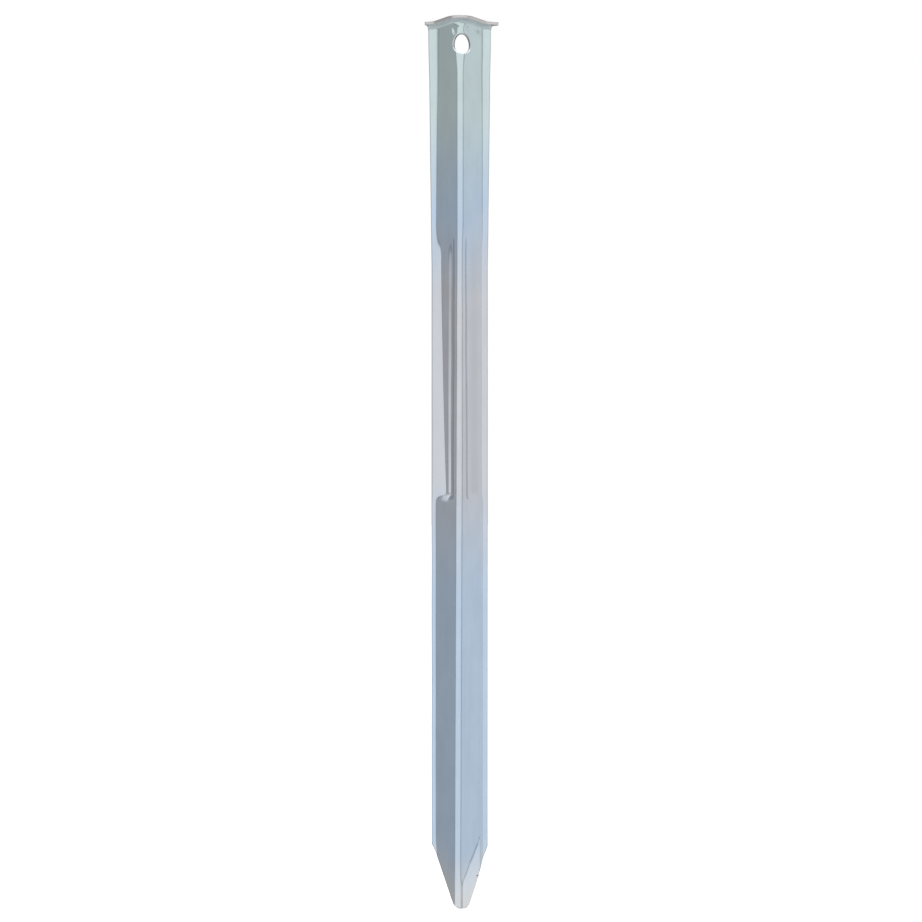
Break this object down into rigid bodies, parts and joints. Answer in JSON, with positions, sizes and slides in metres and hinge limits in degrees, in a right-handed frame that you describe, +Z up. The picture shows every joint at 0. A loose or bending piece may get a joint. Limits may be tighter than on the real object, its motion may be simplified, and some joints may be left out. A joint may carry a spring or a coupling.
{
  "type": "tent peg",
  "caption": "Long V-section ground peg pressed from zinc-plated sheet steel, with a turned-out head lip, a cord hole, side flutes and a cut point.",
  "frame": {"origin": "level with the tip of the nose, midway between the two long edges and on the middle of the sheet at the ridge", "axes": "+Z up the peg from the nose to the strike face, -Y out of the convex ridge, +Y out of the hollow side, X across the peg"},
  "size_m": [0.0335, 0.0159, 0.4],
  "materials": {
    "zinc_plated_steel": "smooth rolled sheet with bright zinc plating and a clear, slightly blue passivation"
  },
  "bodies": {
    "root": {"pressed_peg": "zinc_plated_steel"}
  },
  "joints": []
}
